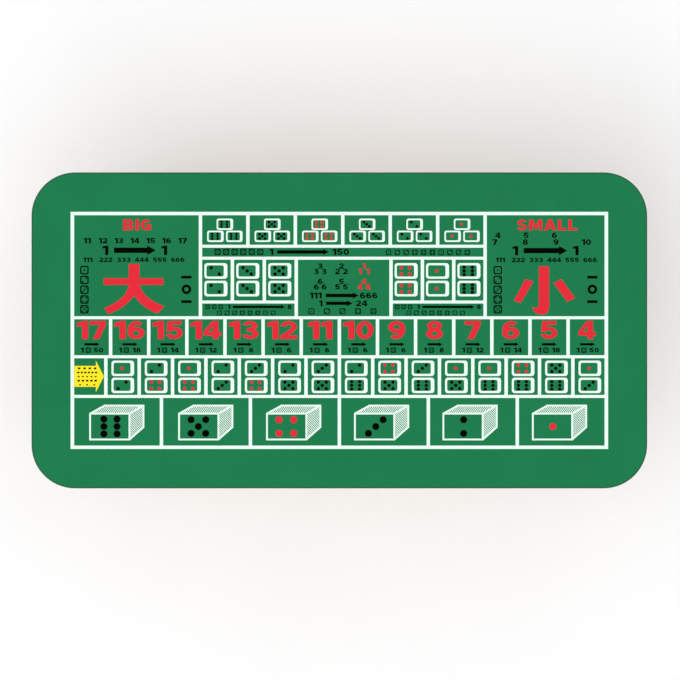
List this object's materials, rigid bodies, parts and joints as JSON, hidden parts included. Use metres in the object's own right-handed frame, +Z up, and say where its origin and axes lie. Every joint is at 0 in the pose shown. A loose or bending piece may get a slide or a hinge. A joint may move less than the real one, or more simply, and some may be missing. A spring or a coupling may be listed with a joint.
{
  "type": "folding sic bo game table",
  "caption": "Folding dice-game table: rounded wooden top with a lift-off printed green layout mat, on two folding tubular leg frames locked by star knobs.",
  "frame": {"origin": "on the floor under the centre of the table top", "axes": "+X along the table, towards the low totals and the right panel; +Y across it, towards the dealer's long side where the side panels are; +Z up"},
  "size_m": [1.8, 0.924, 0.76],
  "materials": {
    "plywood": "sealed birch plywood",
    "softwood": "planed pine",
    "edge_rubber": "matt dark green moulding",
    "zinc_steel": "bright zinc plate",
    "bracket_steel": "zinc-plated sheet",
    "powder_coat": "satin black powder coat",
    "black_plastic": "fine moulded texture",
    "foot_rubber": "matt",
    "brass": "turned",
    "foam_rubber": "fine open cell",
    "green_cloth": "close woven polyester",
    "white_ink": "screen-printed white",
    "black_ink": "screen-printed black",
    "red_ink": "screen-printed red",
    "yellow_ink": "screen-printed yellow"
  },
  "bodies": {
    "top": {"top_board": "plywood", "front_rail": "softwood", "rear_rail": "softwood", "left_rail": "softwood", "right_rail": "softwood", "corner_blocks": "softwood", "cross_battens": "softwood", "edge_band": "edge_rubber", "frame_screws": "zinc_steel", "bracket_screws": "zinc_steel", "pivot_bolts": "zinc_steel", "pivot_nuts": "zinc_steel", "left_front_bracket": "bracket_steel", "left_rear_bracket": "bracket_steel", "right_front_bracket": "bracket_steel", "right_rear_bracket": "bracket_steel"},
    "left_legs": {"left_clamp_bolts": "zinc_steel", "left_clamp_washers": "zinc_steel", "left_front_leg": "powder_coat", "left_rear_leg": "powder_coat", "left_crossbar": "powder_coat", "left_stretcher": "powder_coat", "left_leg_caps": "black_plastic", "left_feet": "foot_rubber"},
    "right_legs": {"right_clamp_bolts": "zinc_steel", "right_clamp_washers": "zinc_steel", "right_front_leg": "powder_coat", "right_rear_leg": "powder_coat", "right_crossbar": "powder_coat", "right_stretcher": "powder_coat", "right_leg_caps": "black_plastic", "right_feet": "foot_rubber"},
    "mat": {"mat_foam": "foam_rubber", "mat_cloth": "green_cloth", "white_grid": "white_ink", "white_triple_dice": "white_ink", "white_double_dice": "white_ink", "white_pair_dice": "white_ink", "white_cubes": "white_ink", "black_pips_upper": "black_ink", "black_pips_lower": "black_ink", "black_big_rules": "black_ink", "black_small_rules": "black_ink", "black_centre_rules": "black_ink", "black_row_labels": "black_ink", "red_pips": "red_ink", "red_totals": "red_ink", "red_big_panel": "red_ink", "red_small_panel": "red_ink", "red_triple_digits": "red_ink", "yellow_arrow": "yellow_ink"},
    "left_front_clamp": {"left_front_knob": "black_plastic", "left_front_insert": "brass"},
    "left_rear_clamp": {"left_rear_knob": "black_plastic", "left_rear_insert": "brass"},
    "right_front_clamp": {"right_front_knob": "black_plastic", "right_front_insert": "brass"},
    "right_rear_clamp": {"right_rear_knob": "black_plastic", "right_rear_insert": "brass"}
  },
  "joints": [
    {"name": "left_fold", "type": "hinge", "parent": "top", "child": "left_legs", "pos_m": [-0.74, 0, 0.70885], "axis": [0, -1, 0], "range_deg": [0, 94]},
    {"name": "right_fold", "type": "hinge", "parent": "top", "child": "right_legs", "pos_m": [0.74, 0, 0.70885], "axis": [0, 1, 0], "range_deg": [0, 94]},
    {"name": "left_front_clamp_turn", "type": "hinge", "parent": "left_legs", "child": "left_front_clamp", "pos_m": [-0.74418, -0.33, 0.649], "axis": [0, -1, 0], "continuous": true},
    {"name": "left_rear_clamp_turn", "type": "hinge", "parent": "left_legs", "child": "left_rear_clamp", "pos_m": [-0.74418, 0.33, 0.649], "axis": [0, 1, 0], "continuous": true},
    {"name": "right_front_clamp_turn", "type": "hinge", "parent": "right_legs", "child": "right_front_clamp", "pos_m": [0.74418, -0.33, 0.649], "axis": [0, -1, 0], "continuous": true},
    {"name": "right_rear_clamp_turn", "type": "hinge", "parent": "right_legs", "child": "right_rear_clamp", "pos_m": [0.74418, 0.33, 0.649], "axis": [0, 1, 0], "continuous": true},
    {"name": "mat_lift", "type": "slide", "parent": "top", "child": "mat", "axis": [0, 0, 1], "range_m": [0, 0.06]}
  ]
}
